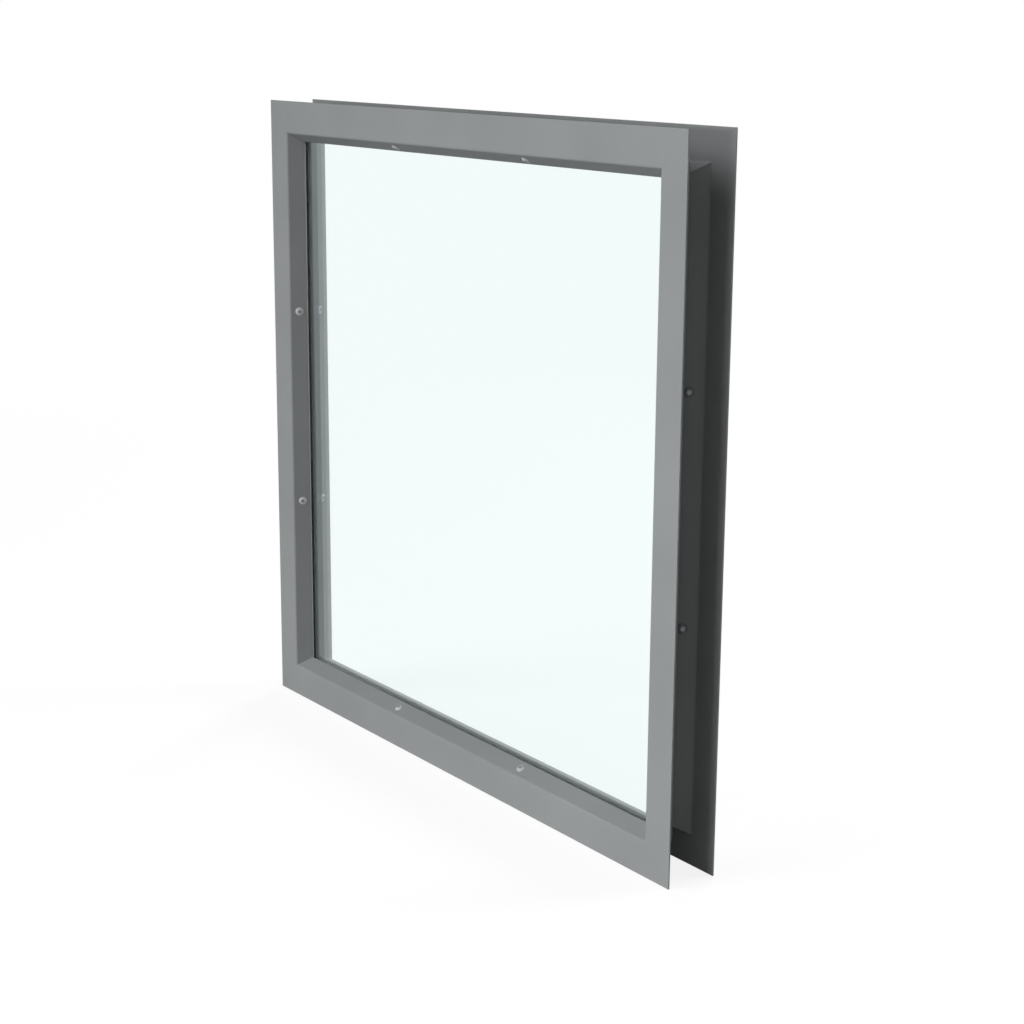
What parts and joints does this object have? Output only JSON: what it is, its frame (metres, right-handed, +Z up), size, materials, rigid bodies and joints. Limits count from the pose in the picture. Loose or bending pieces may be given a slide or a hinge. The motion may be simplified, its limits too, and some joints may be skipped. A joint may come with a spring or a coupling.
{
  "type": "door vision panel",
  "caption": "Rectangular door vision panel: two mitred, bevelled sheet-steel frames that clamp a clear glass pane, with flat flanges that grip the door around its cut-out.",
  "frame": {"origin": "middle of the front bottom flange, on the face that seats on the door's front skin", "axes": "+X to the right seen from the front, +Y from the front skin into the door, +Z up"},
  "size_m": [0.6096, 0.0469, 0.5842],
  "materials": {
    "painted_steel": "satin grey primer",
    "glass": "clear, polished",
    "glazing_tape": "matt black",
    "zinc_screw": "bright zinc plate"
  },
  "bodies": {
    "root": {"front_top_rail": "painted_steel", "front_bottom_rail": "painted_steel", "front_left_stile": "painted_steel", "front_right_stile": "painted_steel", "rear_top_rail": "painted_steel", "rear_bottom_rail": "painted_steel", "rear_left_stile": "painted_steel", "rear_right_stile": "painted_steel", "front_top_rail_tape": "glazing_tape", "front_bottom_rail_tape": "glazing_tape", "front_left_stile_tape": "glazing_tape", "front_right_stile_tape": "glazing_tape", "rear_top_rail_tape": "glazing_tape", "rear_bottom_rail_tape": "glazing_tape", "rear_left_stile_tape": "glazing_tape", "rear_right_stile_tape": "glazing_tape", "glass_pane": "glass"}
  },
  "joints": []
}
